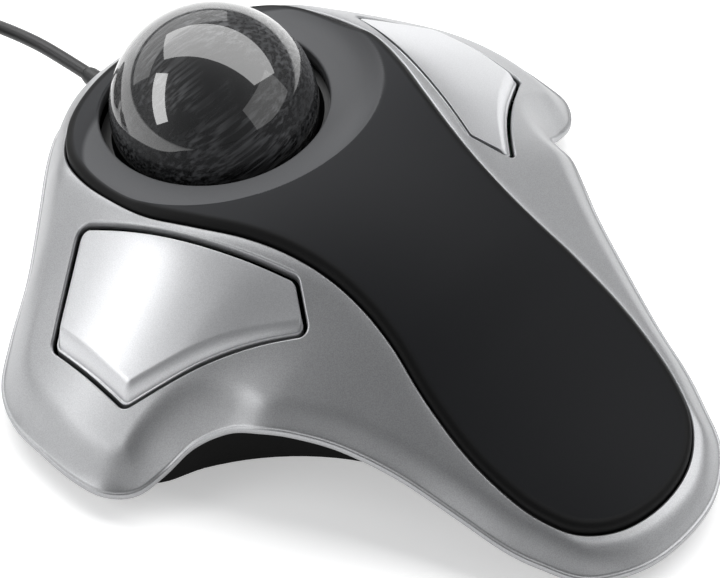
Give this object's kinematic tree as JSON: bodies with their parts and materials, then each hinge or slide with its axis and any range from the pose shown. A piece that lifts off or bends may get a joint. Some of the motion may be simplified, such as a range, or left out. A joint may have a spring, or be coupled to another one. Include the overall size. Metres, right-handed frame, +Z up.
{
  "type": "trackball mouse",
  "caption": "Desk trackball mouse: winged palm-rest body with a large free-turning ball in a dish, hinged left and right buttons and a corded plug.",
  "frame": {"origin": "under the middle of the body, on the surface its rubber feet stand on", "axes": "+Z up, +Y from the palm rest towards the ball and the cord, +X to the right button"},
  "size_m": [0.131, 0.2301, 0.051],
  "materials": {
    "silver_skin": "satin silver lacquer with a fine metallic grain",
    "soft_panel": "dark soft-touch",
    "button_skin": "satin silver lacquer with a fine metallic grain",
    "black_plastic": "fine matt moulding",
    "ball_resin": "polished clear coat over pearly streaks",
    "inner_plastic": "plain moulding",
    "ceramic": "polished ceramic",
    "steel": "turned",
    "foot_rubber": "matt",
    "board": "solder mask",
    "chip": "moulded package",
    "can": "drawn can",
    "lens": "clear",
    "lamp": "tinted resin",
    "white_plastic": "plain moulding",
    "cord_jacket": "satin PVC",
    "plug_metal": "bright tin plate"
  },
  "bodies": {
    "housing": {"top_shell": "silver_skin", "centre_panel": "soft_panel", "base_cover": "black_plastic", "ball_cup": "inner_plastic", "support_bearing_1": "ceramic", "support_bearing_2": "ceramic", "support_bearing_3": "ceramic", "right_hinge_rod": "steel", "left_hinge_rod": "steel", "right_switch_body": "chip", "left_switch_body": "chip", "main_board": "board", "sensor_lens": "lens", "sensor_chip": "chip", "sensor_board": "board", "sensor_lamp": "lamp", "controller_chip": "chip", "clock_crystal": "can", "capacitors": "can", "lead_connector": "white_plastic", "inner_lead": "cord_jacket", "base_screws": "steel", "cup_screws": "steel", "board_screws": "steel", "foot_right": "foot_rubber", "foot_left": "foot_rubber", "foot_front": "foot_rubber", "foot_rear": "foot_rubber", "cord_sleeve": "cord_jacket", "cord_run": "cord_jacket", "cord_coil": "cord_jacket", "cord_tail": "cord_jacket", "plug_grip": "cord_jacket", "plug_sleeve": "plug_metal", "plug_tongue": "white_plastic"},
    "ball_axis": {"ball_axis_bead": "inner_plastic"},
    "ball": {"ball": "ball_resin"},
    "button_right": {"right_button": "button_skin"},
    "button_left": {"left_button": "button_skin"},
    "plunger_right": {"right_switch_plunger": "white_plastic"},
    "plunger_left": {"left_switch_plunger": "white_plastic"}
  },
  "joints": [
    {"name": "ball_roll_x", "type": "hinge", "parent": "housing", "child": "ball_axis", "pos_m": [0, 0.04, 0.031], "axis": [1, 0, 0], "continuous": true},
    {"name": "ball_roll_y", "type": "hinge", "parent": "ball_axis", "child": "ball", "pos_m": [0, 0.04, 0.031], "axis": [0, 1, 0], "continuous": true},
    {"name": "right_button_press", "type": "hinge", "parent": "housing", "child": "button_right", "pos_m": [0.0211, 0.0084, 0.0333], "axis": [0.3084, 0.9399, -0.1469], "range_deg": [0, 2], "stiffness_Nm_per_rad": 0.3, "springref_deg": -1.72},
    {"name": "left_button_press", "type": "hinge", "parent": "housing", "child": "button_left", "pos_m": [-0.0211, 0.0084, 0.0333], "axis": [0.3084, -0.9399, 0.1469], "range_deg": [0, 2], "stiffness_Nm_per_rad": 0.3, "springref_deg": -1.72},
    {"name": "right_plunger_press", "type": "slide", "parent": "housing", "child": "plunger_right", "axis": [0, 0, -1], "range_m": [0, 0.0007]},
    {"name": "left_plunger_press", "type": "slide", "parent": "housing", "child": "plunger_left", "axis": [0, 0, -1], "range_m": [0, 0.0007]}
  ],
  "couplings": [
    {"joint": "right_plunger_press", "follows": "right_button_press", "m_per_rad": 0.0198},
    {"joint": "left_plunger_press", "follows": "left_button_press", "m_per_rad": 0.0198}
  ]
}
